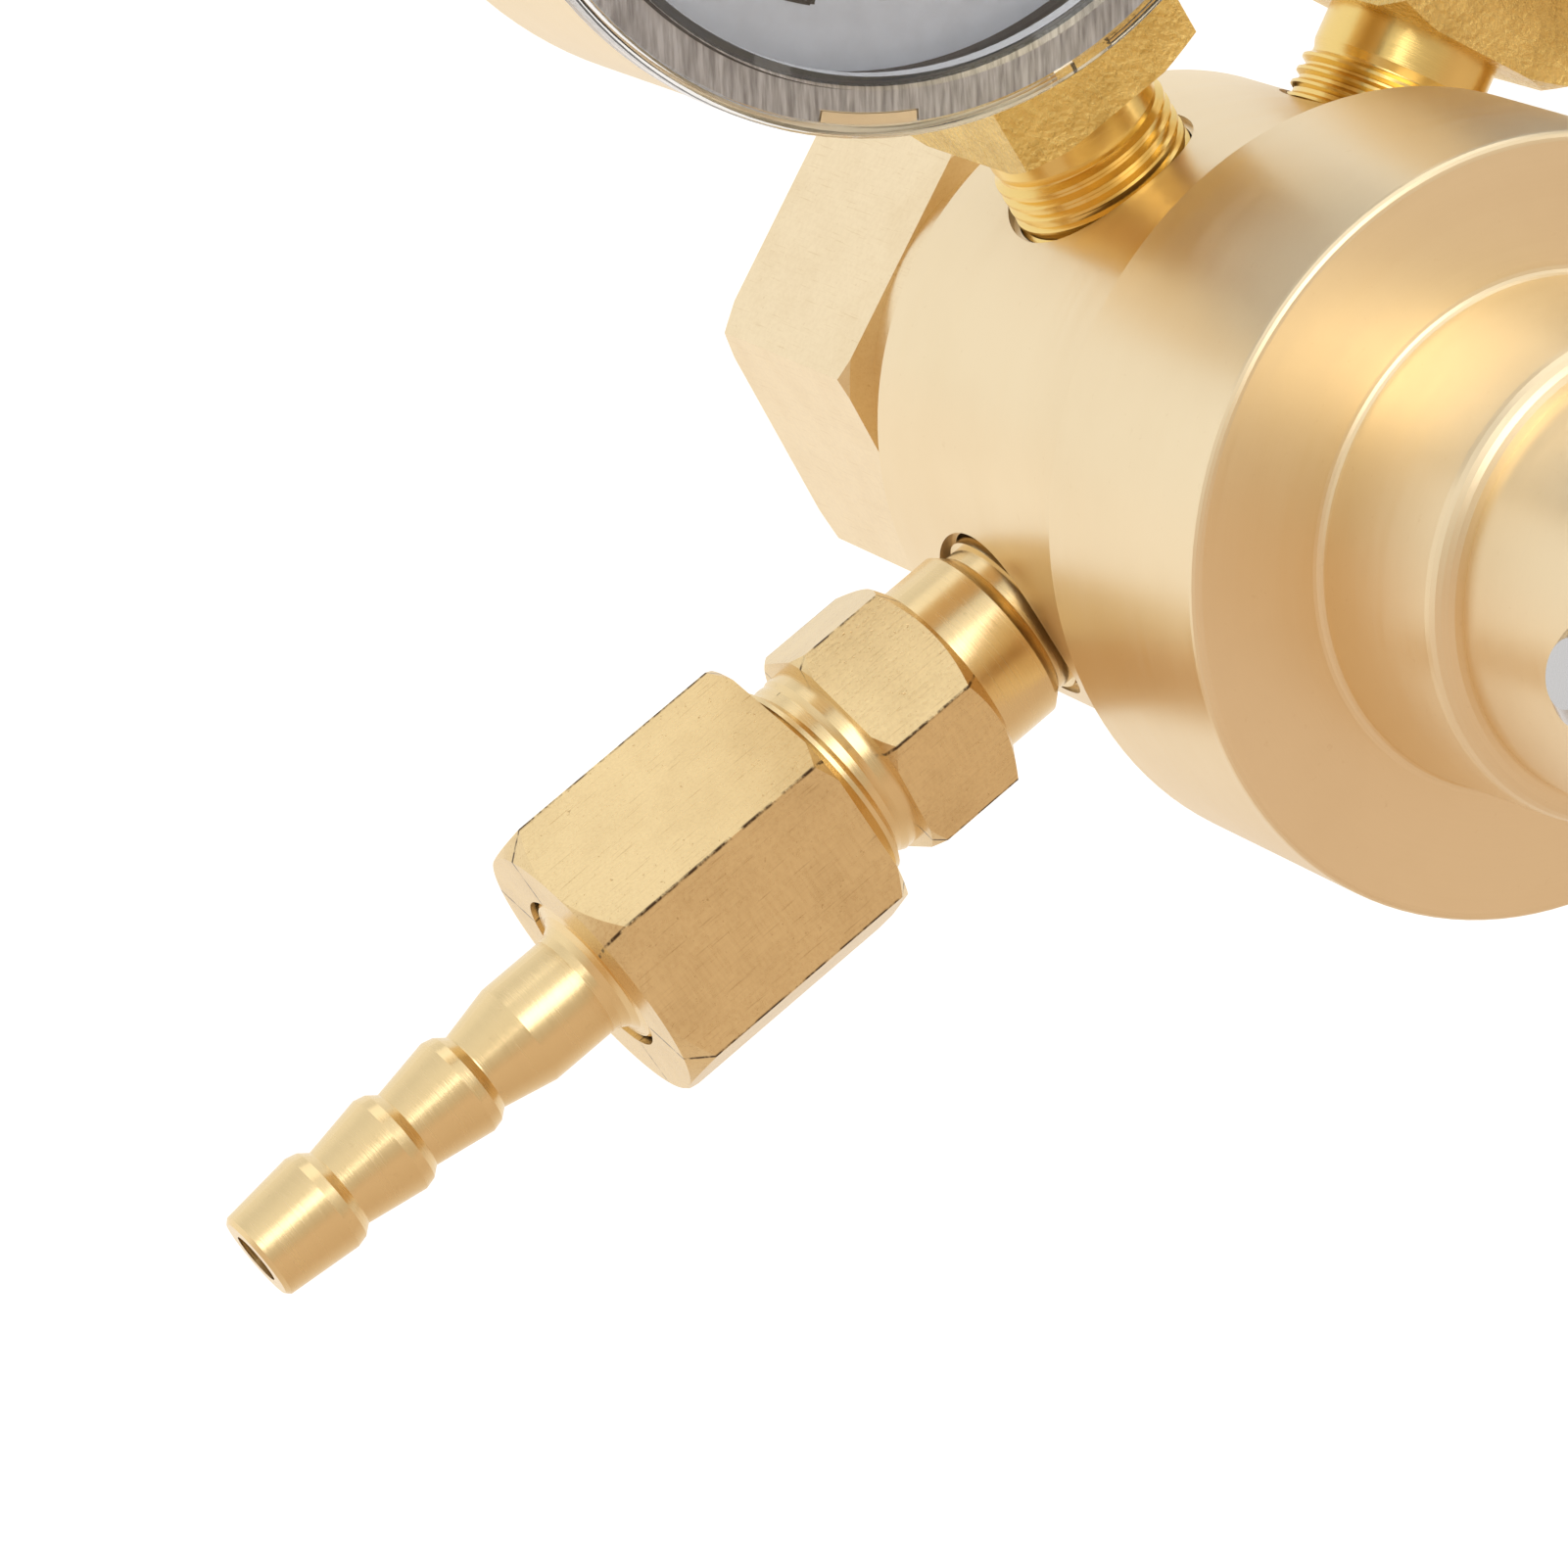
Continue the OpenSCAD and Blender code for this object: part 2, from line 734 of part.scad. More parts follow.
// Outlet adapter, union nut and hose tail
module outlet_adapter() {
    relief = 0.8;
    color(brass)
        at_port()
            along(outlet_angle)
                difference() {
                    union() {
                        turned([[0, stem_in], [outlet_spigot_r - 1, stem_in], [outlet_spigot_r, stem_in + 1],
                            [outlet_spigot_r, body_r - relief], [outlet_spigot_r - 0.4, body_r - relief],
                            [outlet_spigot_r - 0.4, body_r + 0.4], [collar_d / 2 - 0.5, body_r + 0.8],
                            [collar_d / 2, body_r + 1.4], [collar_d / 2, adapter_at + 1],
                            [0, adapter_at + 1]]);
                        rotate([0, 0, adapter_turn])
                            hexagon(adapter_af, adapter_at, adapter_end, collar_d / 2 + 0.6, 1.3,
                                adapter_af / 2 + 0.5, 0.8);
                        turned([[0, adapter_end - 1], [outlet_thread_d / 2 - 0.6, adapter_end - 1],
                            [outlet_thread_d / 2 - 0.6, thread_start], [outlet_thread_d / 2, thread_start + 0.5],
                            [outlet_thread_d / 2, adapter_tip - 0.7], [outlet_thread_d / 2 - 0.7, adapter_tip],
                            [0, adapter_tip]]);
                    }
                    rod(drill_d / 2, 0, adapter_tip + 1);
                    turned([[0, adapter_tip - seat_cone_r], [seat_cone_r + 0.5, adapter_tip + 0.5],
                        [0, adapter_tip + 0.5]]);
                }
}
module outlet_nut() {
    color(brass)
        at_port()
            along(outlet_angle)
                difference() {
                    rotate([0, 0, nut_turn])
                        hexagon(nut_af, nut_at, nut_end, nut_af / 2 + 0.7, 0.9, nut_af / 2, 1.7);
                    rod(outlet_thread_d / 2 + fit, nut_at - 1, flange_front);
                    rod(nut_hole_d / 2, nut_at, nut_end + 1);
                }
}
// One barb: a steep rise towards the nut and a long taper towards the tip
function barb(at) = [[neck_d / 2, at - 1.5], [barb_d / 2 - 0.2, at - 0.8], [barb_d / 2, at]];
module hose_tail() {
    nose = 3;
    tail_nose = adapter_tip - nose + slack;
    fillet = 1.6;
    color(brass)
        at_port()
            along(outlet_angle)
                difference() {
                    turned(concat(
                        [[0, tail_nose], [seat_cone_r - nose, tail_nose],
                            [seat_cone_r, tail_nose + nose], [seat_cone_r, flange_front - 3], [flange_r, flange_front - 3],
                            [flange_r, flange_front - 0.05], [tail_r, flange_front - 0.05], [tail_r, nut_end - 0.5],
                            [tail_r - 0.3, nut_end - 0.2], [root_d / 2 + fillet, nut_end - 0.2]],
                        arc(root_d / 2 + fillet, nut_end - 0.2 + fillet, fillet, 270, 180),
                        [[root_d / 2, root_at + root_len], [neck_d / 2, first_barb - 1.6]],
                        [for (i = [0:barbs - 1]) each barb(first_barb + i * barb_pitch)],
                        [[tip_d / 2, tail_tip - 0.3], [tip_d / 2 - 0.3, tail_tip], [0, tail_tip]]));
                    rod(tail_bore_d / 2, tail_nose - 1, tail_tip + 1);
                }
}

// Gauge parts, drawn about the dial's centre with the dial facing +Z and the stem towards -Y
module tube_path(grow = 0) {
    rotate([0, 0, tube_from])
        rotate_extrude(angle = tube_to - tube_from)
            translate([tube_r - tube_w / 2 - grow, tube_s - tube_h / 2 - grow])
                square([tube_w + 2 * grow, tube_h + 2 * grow]);
}
module gauge_socket() {
    half = socket_w / 2;
    low = socket_at - gauge_reach;
    top = -block_in;
    difference() {
        union() {
            rotate([90, 0, 0])
                turned([[0, gauge_reach - stem_in], [stem_r - 1, gauge_reach - stem_in],
                    [stem_r, gauge_reach - stem_in - 1], [stem_r, gauge_reach - stem_thread_out],
                    [stem_neck_r, gauge_reach - stem_thread_out - 0.6], [stem_neck_r, -low - 1], [0, -low - 1]]);
            intersection() {
                translate([-half, low, -socket_t / 2])
                    cube([socket_w, top - low, socket_t]);
                rotate([90, 0, 0])
                    turned([[0, -low], [stem_r + 3, -low], [half * 1.5, -low - 0.8], [half * 1.5, -top], [0, -top]]);
            }
        }
        translate([-half - 1, 2.5 - tube_r, movement_back])
            cube([socket_w + 2, tube_r, socket_t]);
        rotate([90, 0, 0])
            rod(1.5, 20, gauge_reach);
        tube_path(0.05);
    }
}
module lugs(spread, inner, height, out) {
    for (a = [0, 120, 240])
        rotate([0, 0, 233 + a - spread])
            rotate_extrude(angle = 2 * spread)
                translate([inner, case_shoulder - e])
                    square([out - inner, height]);
}
module gauge_case() {
    wall = case_wall;
    half = socket_w / 2 + 0.15;
    difference() {
        union() {
            turned(concat(
                [[0, -case_back]],
                arc(case_r - case_round, case_round - case_back, case_round, 270, 360),
                [[case_r, case_shoulder], [neck_r, case_shoulder], [neck_r, case_front],
                    [neck_in_r, case_front], [neck_in_r, case_shoulder - wall],
                    [case_r - wall, case_shoulder - wall]],
                arc(case_r - case_round, case_round - case_back, case_round - wall, 360, 270),
                [[0, wall - case_back]]));
            lugs(7, neck_r - wall / 2, neck_len + band_t + e, neck_r + band_t);
        }
        translate([-half, -gauge_reach, -socket_t / 2 - 0.15])
            cube([2 * half, gauge_reach - case_r + case_round + half, socket_t + 0.3]);
    }
}
module gauge_band() {
    difference() {
        turned([[neck_r + 0.02, case_shoulder], [neck_r + band_t, case_shoulder],
            [neck_r + band_t, case_front + band_t], [bezel_r, case_front + band_t],
            [bezel_r, case_front + 0.02], [neck_r + 0.02, case_front + 0.02]]);
        lugs(7.3, neck_r - case_wall / 2 - 0.1, neck_len + band_t + 1, neck_r + 1);
    }
}
module gauge_lens() {
    edge = 0.8;
    rim_w = 2.4;
    back = case_shoulder + 0.1;
    inside = case_front + band_t + 0.1;
    difference() {
        turned(concat(
            [[skirt_in_r, back], [lens_r - 0.3, back], [lens_r, back + 0.3]],
            arc(lens_r - edge, lens_front - edge, edge, 0, 90),
            [[lens_r - edge - rim_w, lens_front], [lens_r - edge - rim_w - 0.8, window_front],
                [0, window_front], [0, window_back],
                [neck_in_r - rim_gap, window_back], [neck_in_r - rim_gap + 0.2, inside],
                [skirt_in_r, inside]]));
        for (a = [0, 120, 240])
            rotate([0, 0, 261 + a]) {
                rotate_extrude(angle = 9)
                    translate([skirt_in_r - 1, back - 1])
                        square([skirt_t + 2, 2]);
                rotate_extrude(angle = 3)
                    translate([skirt_in_r - 1, back - 1])
                        square([skirt_t + 2, 2.7]);
            }
    }
}
module gauge_gasket() {
    ring(neck_in_r - 1.8, neck_in_r - 0.1, dial_s + dial_t + 0.02, case_front);
}
module gauge_dial() {
    difference() {
        rod(dial_r, dial_s, dial_s + dial_t);
        rod(arbor_r + 0.9, dial_s - 1, dial_s + dial_t + 1);
    }
}
module gauge_pointer() {
    hub = 2.2;
    s = dial_s + dial_t + 0.35;
    tail = 8;
    rotate([0, 0, zero_a])
        difference() {
            union() {
                rod(hub, s, s + 1.1);
                translate([0, 0, s])
                    linear_extrude(0.4)
                        polygon([[-tail, -1.5], [-tail, 1.5], [0, 1.1], [pointer_len, 0.2], [pointer_len, -0.2], [0, -1.1]]);
            }
            rod(arbor_r + 0.02, s - 1, s + 2);
        }
}
// Teeth of a gear as a ring of points: root, flank up, flank down
function teeth(count, pitch_r, from, to) =
    [for (i = [from:to]) let (a = 360 * i / count, w = 360 / count)
        each [[pitch_r - 0.33, a - 0.28 * w], [pitch_r + 0.2, a - 0.1 * w],
            [pitch_r + 0.2, a + 0.1 * w], [pitch_r - 0.33, a + 0.28 * w]]];
function polar(list) = [for (p = list) [p[0] * cos(p[1]), p[0] * sin(p[1])]];
module gauge_arbor() {
    top = dial_s + dial_t + 1.3;
    difference() {
        union() {
            rod(arbor_r, movement_back + 0.1, top);
            translate([0, 0, gear_s - 0.4])
                linear_extrude(gear_t + 0.8)
                    rotate(pivot_a - 180)
                        polygon(polar(teeth(pinion_teeth, pinion_r, 0, pinion_teeth - 1)));
        }
    }
}
module gauge_sector() {
    mesh_a = pivot_a - 180;
    count = ceil(sector_sweep / (360 / sector_teeth)) + 4;
    translate([pivot[0], pivot[1], gear_s]) {
        linear_extrude(gear_t)
            difference() {
                union() {
                    circle(1.8);
                    rotate(mesh_a + 180 / sector_teeth)
                        polygon(concat([[0, 0]], polar(teeth(sector_teeth, sector_r, 2 - count, 1))));
                    rotate(tail_a)
                        translate([0, -0.8])
                            square([tail_len, 1.6]);
                    translate([tail_len * cos(tail_a), tail_len * sin(tail_a)])
                        circle(1.3);
                }
                translate([tail_len * cos(tail_a), tail_len * sin(tail_a)])
                    circle(link_pin_r);
            }
        rod(0.7, movement_back + 0.1 - gear_s, movement_front - 0.1 - gear_s);
    }
}
// Link from the sector's tail to the free end of the tube
module gauge_link() {
    end_r = 0.9;
    tip_at = (tube_r - tube_w / 2 - end_r - slack) * [cos(tube_to), sin(tube_to)];
    run = tip_at - link_at;
    s = gear_s + gear_t + 0.3;
    translate([link_at[0], link_at[1], 0]) {
        rod(link_pin_r - fit, gear_s, s + e);
        translate([0, 0, s])
            linear_extrude(0.5) {
                circle(end_r);
                rotate(atan2(run[1], run[0]))
                    translate([0, -0.6])
                        square([norm(run), 1.2]);
                translate(run)
                    circle(end_r);
            }
    }
}
// Two plates on four pillars, which carry the arbor and the sector
module movement_plate(from) {
    difference() {
        translate([0, 0, from])
            linear_extrude(movement_t)
                difference() {
                    union() {
                        translate([-11, -14.5])
                            square([22, 16]);
                        circle(3.5);
                    }
                    translate([5, -7])
                        circle(3);
                }
        rod(arbor_r + fit, from - 1, from + 2);
        translate([pivot[0], pivot[1], 0])
            rod(0.7 + fit, from - 1, from + 2);
    }
}
module gauge_movement() {
    movement_plate(movement_back);
    movement_plate(movement_front - movement_t);
    for (p = [[-9.9, -13.4], [9.5, -13.2], [9.5, 0.2], [-10, -3]])
        translate([p[0], p[1], 0])
            rod(1, movement_back + movement_t - e, movement_front - movement_t + e);
    for (p = [[-9.5, 0.2], [9.5, 0.2]])
        translate([p[0], p[1], 0])
            rod(1, movement_front - e, dial_s);
}
module gauge_tube() {
    difference() {
        tube_path();
        tube_path(-0.4);
    }
}

module low_socket() { color(raw_brass) at_gauge(low_gauge_angle) gauge_socket(); }
module low_case() { color(satin_brass) at_gauge(low_gauge_angle) gauge_case(); }
module low_band() { color(steel) at_gauge(low_gauge_angle) gauge_band(); }
module low_lens() { color([0.85, 0.9, 0.95, 0.4]) at_gauge(low_gauge_angle) gauge_lens(); }
module low_gasket() { color(rubber) at_gauge(low_gauge_angle) gauge_gasket(); }
module low_dial() { color("white") at_gauge(low_gauge_angle) gauge_dial(); }
module low_pointer() { color(rubber) at_gauge(low_gauge_angle) gauge_pointer(); }
module low_arbor() { color(steel) at_gauge(low_gauge_angle) gauge_arbor(); }
module low_sector() { color(brass) at_gauge(low_gauge_angle) gauge_sector(); }
module low_link() { color(steel) at_gauge(low_gauge_angle) gauge_link(); }
module low_movement() { color(brass) at_gauge(low_gauge_angle) gauge_movement(); }
module low_tube() { color(raw_brass) at_gauge(low_gauge_angle) gauge_tube(); }
module high_socket() { color(raw_brass) at_gauge(high_gauge_angle) gauge_socket(); }
module high_case() { color(satin_brass) at_gauge(high_gauge_angle) gauge_case(); }
module high_band() { color(steel) at_gauge(high_gauge_angle) gauge_band(); }
module high_lens() { color([0.85, 0.9, 0.95, 0.4]) at_gauge(high_gauge_angle) gauge_lens(); }
module high_gasket() { color(rubber) at_gauge(high_gauge_angle) gauge_gasket(); }
module high_dial() { color("white") at_gauge(high_gauge_angle) gauge_dial(); }
module high_pointer() { color(rubber) at_gauge(high_gauge_angle) gauge_pointer(); }
module high_arbor() { color(steel) at_gauge(high_gauge_angle) gauge_arbor(); }
module high_sector() { color(brass) at_gauge(high_gauge_angle) gauge_sector(); }
module high_link() { color(steel) at_gauge(high_gauge_angle) gauge_link(); }
module high_movement() { color(brass) at_gauge(high_gauge_angle) gauge_movement(); }
module high_tube() { color(raw_brass) at_gauge(high_gauge_angle) gauge_tube(); }

body();
rear_cap();
cap_seal();
bonnet();
diaphragm();
pressure_plate();
diaphragm_washer();
slip_ring();
range_spring();
spring_button();
adjusting_screw();
cross_bar();
nozzle();
seat_disc();
poppet();
valve_pin();
poppet_spring();
inlet_nipple();
inlet_nut();
inlet_filter();
outlet_adapter();
outlet_nut();
hose_tail();
low_socket();
low_case();
low_band();
low_lens();
low_gasket();
low_dial();
low_pointer();
low_arbor();
low_sector();
low_link();
low_movement();
low_tube();
high_socket();
high_case();
high_band();
high_lens();
high_gasket();
high_dial();
high_pointer();
high_arbor();
high_sector();
high_link();
high_movement();
high_tube();
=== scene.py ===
import math

import bpy
from mathutils import Matrix, Vector

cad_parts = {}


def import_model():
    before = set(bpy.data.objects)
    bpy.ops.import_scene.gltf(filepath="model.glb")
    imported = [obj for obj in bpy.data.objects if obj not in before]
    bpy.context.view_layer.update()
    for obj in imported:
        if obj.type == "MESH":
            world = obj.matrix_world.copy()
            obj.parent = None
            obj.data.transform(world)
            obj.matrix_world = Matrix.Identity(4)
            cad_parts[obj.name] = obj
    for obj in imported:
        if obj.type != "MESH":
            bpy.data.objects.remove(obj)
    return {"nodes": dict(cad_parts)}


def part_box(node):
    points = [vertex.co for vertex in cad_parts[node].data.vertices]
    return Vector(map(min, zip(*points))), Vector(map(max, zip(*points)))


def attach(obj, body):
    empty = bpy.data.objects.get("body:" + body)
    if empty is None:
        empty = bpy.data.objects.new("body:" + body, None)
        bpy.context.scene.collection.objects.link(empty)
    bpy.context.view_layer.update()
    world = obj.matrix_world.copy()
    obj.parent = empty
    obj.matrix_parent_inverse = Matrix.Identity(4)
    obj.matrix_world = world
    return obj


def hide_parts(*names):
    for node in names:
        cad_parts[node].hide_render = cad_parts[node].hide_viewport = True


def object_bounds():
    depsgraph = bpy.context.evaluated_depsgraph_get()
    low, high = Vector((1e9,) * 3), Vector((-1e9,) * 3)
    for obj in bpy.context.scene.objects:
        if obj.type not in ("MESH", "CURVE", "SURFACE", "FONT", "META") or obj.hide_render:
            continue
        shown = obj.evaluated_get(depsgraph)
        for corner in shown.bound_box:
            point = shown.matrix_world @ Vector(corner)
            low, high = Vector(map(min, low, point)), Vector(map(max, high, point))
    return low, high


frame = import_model()
cad_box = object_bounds()

# Places, in the row's frame: metres and degrees
MM = 0.001
AXIS_X = -56 * MM
LOW_ANGLE = 120
HIGH_ANGLE = 60
OUTLET_ANGLE = 210
INLET_ANGLE = 0
NUT_TURN = 4
ADAPTER_TURN = 49
DIAL_SWEEP = 270
DIAL_ZERO = 225

# The photograph's camera, solved from its edges
CAMERA_AT = Vector((-271.66, -351.27, 107.78)) * MM
CAMERA_RIGHT = Vector((0.8843, -0.4660, -0.0437))
CAMERA_BACK = Vector((-0.4315, -0.8480, 0.3074))
CAMERA_LENS = 140.8
SENSOR = 36


def along(angle):
    """Local Z leaves the body's axis at this angle, and local Y stays the row's Y."""
    c, s = math.cos(math.radians(angle)), math.sin(math.radians(angle))
    turn = Matrix(((s, 0, c), (0, 1, 0), (-c, 0, s))).to_4x4()
    return Matrix.Translation((AXIS_X, 0, 0)) @ turn


def forward():
    """Local Z runs forward along the body's axis."""
    return Matrix.Translation((AXIS_X, 0, 0)) @ Matrix.Rotation(math.radians(90), 4, "X")


def gauge_place(dial, angle):
    """Local Z leaves the dial's face and local Y points away from the stem."""
    low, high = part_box(dial)
    c, s = math.cos(math.radians(angle)), math.sin(math.radians(angle))
    turn = Matrix(((s, c, 0), (0, 0, -1), (-c, s, 0))).to_4x4()
    return Matrix.Translation(((low[0] + high[0]) / 2, low[1], (low[2] + high[2]) / 2)) @ turn


# Colours
SATIN = (0.93, 0.780, 0.530)
SATIN_DARK = (0.66, 0.47, 0.23)
YELLOW = (0.88, 0.690, 0.380)
YELLOW_DARK = (0.40, 0.24, 0.09)
GOLD = (0.90, 0.66, 0.24)
GOLD_DARK = (0.50, 0.31, 0.07)
BURR_BROWN = (0.09, 0.055, 0.03)
STEEL_LIGHT = (0.62, 0.63, 0.65)
STEEL_DARK = (0.30, 0.30, 0.31)

# Depths of surface texture and widths of dark burrs, in metres
CAST_DEPTH = 0.00022
MILLED_DEPTH = 0.000012
STEEL_DEPTH = 0.00002
DEEP_GROOVE = 0.00001
NUT_BURR = 0.00016
ADAPTER_BURR = 0.00014

# How closely the marks across a hexagon lie
CAP_LINES = 2500
NUT_LINES = 3500


# Materials

def new_material(name):
    mat = bpy.data.materials.new(name)
    mat.use_nodes = True
    return mat, mat.node_tree, mat.node_tree.nodes["Principled BSDF"]


def add(tree, kind, **settings):
    node = tree.nodes.new(kind)
    for key, value in settings.items():
        setattr(node, key, value)
    return node


def math_node(tree, operation, first, second=None):
    node = add(tree, "ShaderNodeMath", operation=operation)
    for socket, value in zip(node.inputs, (first, second)):
        if value is None:
            continue
        if isinstance(value, (int, float)):
            socket.default_value = value
        else:
            tree.links.new(value, socket)
    return node.outputs[0]


def plus(tree, first, second):
    return math_node(tree, "ADD", first, second)


def times(tree, first, second):
    return math_node(tree, "MULTIPLY", first, second)


def noise(tree, vector, scale, detail=2.0, rough=0.5):
    node = add(tree, "ShaderNodeTexNoise")
    node.inputs["Scale"].default_value = scale
    node.inputs["Detail"].default_value = detail
    node.inputs["Roughness"].default_value = rough
    tree.links.new(vector, node.inputs["Vector"])
    return node.outputs["Fac"]


def ramp(tree, value, low, high, to_low=0.0, to_high=1.0):
    node = add(tree, "ShaderNodeMapRange")
    for key, number in zip(("From Min", "From Max", "To Min", "To Max"), (low, high, to_low, to_high)):
        node.inputs[key].default_value = number
    tree.links.new(value, node.inputs["Value"])
    return node.outputs["Result"]


def blend_colours(tree, fac, first, second):
    node = add(tree, "ShaderNodeMix", data_type="RGBA")
    node.inputs["A"].default_value = (*first, 1)
    node.inputs["B"].default_value = (*second, 1)
    tree.links.new(fac, node.inputs["Factor"])
    return node.outputs["Result"]


def bump(tree, shader, height, distance):
    node = add(tree, "ShaderNodeBump")
    node.inputs["Distance"].default_value = distance
    node.inputs["Strength"].default_value = 1.0
    tree.links.new(height, node.inputs["Height"])
    tree.links.new(node.outputs["Normal"], shader.inputs["Normal"])


def object_vector(tree):
    return add(tree, "ShaderNodeTexCoord").outputs["Object"]


def local_vector(tree, place, scale=(1, 1, 1)):
    """Coordinates in a place's own axes."""
    mapping = add(tree, "ShaderNodeMapping", vector_type="POINT")
    inverse = place.inverted()
    mapping.inputs["Location"].default_value = inverse.to_translation()
    mapping.inputs["Rotation"].default_value = inverse.to_euler()
    mapping.inputs["Scale"].default_value = scale
    tree.links.new(object_vector(tree), mapping.inputs["Vector"])
    return mapping.outputs["Vector"]


def round_z(tree, vector):
    """Radius and angle about Z, and the height along it."""
    split = add(tree, "ShaderNodeSeparateXYZ")
    tree.links.new(vector, split.inputs[0])
    x, y, z = split.outputs
    radius = math_node(tree, "SQRT", plus(tree, times(tree, x, x), times(tree, y, y)))
    return radius, math_node(tree, "ARCTAN2", y, x), z


def turned_vector(tree, place, stretch):
    """Coordinates of a turned surface: radius, length, and a little of the angle."""
    radius, angle, z = round_z(tree, local_vector(tree, place))
    join = add(tree, "ShaderNodeCombineXYZ")
    tree.links.new(radius, join.inputs[0])
    tree.links.new(z, join.inputs[1])
    tree.links.new(times(tree, math_node(tree, "SINE", angle), stretch), join.inputs[2])
    return join.outputs[0]


def turned_metal(name, place, colour, dark, rough, groove=0.000006, tarnish=0.12, wear=0.16, axis=None,
                 drawn=0.45):
    """Satin metal with fine turning marks.

    With an axis given, the marks draw the gloss out across them."""
    mat, tree, shader = new_material(name)
    if axis:
        tangent = add(tree, "ShaderNodeTangent", direction_type="RADIAL", axis=axis)
        tree.links.new(tangent.outputs[0], shader.inputs["Tangent"])
        shader.inputs["Anisotropic"].default_value = drawn
        shader.inputs["Anisotropic Rotation"].default_value = 0.25
    vector = turned_vector(tree, place, 0.0004)
    flat = object_vector(tree)
    fine = noise(tree, vector, 9000, 2.0, 0.6)
    broad = noise(tree, vector, 1300, 3.0, 0.6)
    cloud = noise(tree, flat, 60, 4.0, 0.6)
    specks = noise(tree, flat, 1500, 2.0, 0.7)
    marks = plus(tree, times(tree, fine, 0.6), times(tree, broad, 0.4))
    dulled = ramp(tree, cloud, 0.45, 0.75, 0.0, tarnish)
    stain = plus(tree, dulled, ramp(tree, specks, 0.68, 0.8, 0.0, wear))
    stain = plus(tree, stain, ramp(tree, marks, 0.3, 0.7, 0.06, 0.0))
    tree.links.new(blend_colours(tree, stain, colour, dark), shader.inputs["Base Color"])
    tree.links.new(ramp(tree, marks, 0.3, 0.7, rough - 0.05, rough + 0.06), shader.inputs["Roughness"])
    shader.inputs["Metallic"].default_value = 1.0
    bump(tree, shader, marks, groove)
    return mat


def cast_metal(name, colour, dark):
    """Brass cast in sand: lumps and small facets, in clouds of two colours."""
    mat, tree, shader = new_material(name)
    coord = object_vector(tree)
    lumps = noise(tree, coord, 1300, 6.0, 0.7)
    grain = add(tree, "ShaderNodeTexVoronoi", feature="F1")
    grain.inputs["Scale"].default_value = 2100
    tree.links.new(coord, grain.inputs["Vector"])
    height = plus(tree, lumps, times(tree, grain.outputs["Distance"], 0.35))
    cloud = ramp(tree, noise(tree, coord, 260, 3.0, 0.6), 0.4, 0.7, 0.0, 0.5)
    tree.links.new(blend_colours(tree, cloud, colour, dark), shader.inputs["Base Color"])
    tree.links.new(ramp(tree, lumps, 0.3, 0.7, 0.16, 0.34), shader.inputs["Roughness"])
    shader.inputs["Metallic"].default_value = 1.0
    bump(tree, shader, height, CAST_DEPTH)
    return mat


def corner_edge(tree, vector, corner, width):
    """One within this width of a hexagon's corner edges, broken here and there."""
    radius, angle, _ = round_z(tree, vector)
    sixth = math.pi / 3
    turned = math_node(tree, "SUBTRACT", angle, math.radians(corner - 30))
    folded = math_node(tree, "FLOORED_MODULO", turned, sixth)
    off = math_node(tree, "ABSOLUTE", math_node(tree, "SUBTRACT", folded, sixth / 2))
    near = ramp(tree, times(tree, off, radius), width, width * 0.4)
    return times(tree, near, ramp(tree, noise(tree, vector, 700, 4.0, 0.7), 0.40, 0.55))


def milled_metal(name, place, colour, dark, rough, angle_lines, corner=0, burr=0.0):
    """Drawn hexagon bar: lines along it, marks across, and dark burrs along the corner edges."""
    mat, tree, shader = new_material(name)
    vector = turned_vector(tree, place, 0.02)
    flat = object_vector(tree)
    local = local_vector(tree, place)
    lengthwise = add(tree, "ShaderNodeMapping", vector_type="POINT")
    lengthwise.inputs["Scale"].default_value = (1, 1, 0.04)
    tree.links.new(local, lengthwise.inputs["Vector"])
    lines = noise(tree, lengthwise.outputs["Vector"], 5200, 3.0, 0.6)
    across = noise(tree, vector, angle_lines, 2.0, 0.5)
    cloud = noise(tree, flat, 220, 4.0, 0.6)
    pits = noise(tree, flat, 2600, 2.0, 0.7)
    scratches = ramp(tree, noise(tree, lengthwise.outputs["Vector"], 9000, 2.0, 0.5), 0.63, 0.72)
    height = plus(tree, times(tree, lines, 0.4), times(tree, across, 0.6))
    height = math_node(tree, "SUBTRACT", height, ramp(tree, pits, 0.68, 0.8, 0.0, 0.8))
    stain = ramp(tree, cloud, 0.45, 0.75, 0.0, 0.16)
    stain = plus(tree, stain, ramp(tree, pits, 0.66, 0.8, 0.0, 0.5))
    stain = plus(tree, stain, ramp(tree, lines, 0.35, 0.62, 0.07, 0.0))
    stain = plus(tree, stain, ramp(tree, across, 0.35, 0.6, 0.12, 0.0))
    stain = plus(tree, stain, times(tree, scratches, 0.3))
    worn = blend_colours(tree, stain, colour, dark)
    if burr:
        mix = add(tree, "ShaderNodeMix", data_type="RGBA")
        tree.links.new(corner_edge(tree, local, corner, burr), mix.inputs["Factor"])
        tree.links.new(worn, mix.inputs["A"])
        mix.inputs["B"].default_value = (*BURR_BROWN, 1)
        worn = mix.outputs["Result"]
    tree.links.new(worn, shader.inputs["Base Color"])
    tree.links.new(ramp(tree, height, 0.3, 0.8, rough - 0.06, rough + 0.1), shader.inputs["Roughness"])
    shader.inputs["Metallic"].default_value = 1.0
    bump(tree, shader, height, MILLED_DEPTH)
    return mat


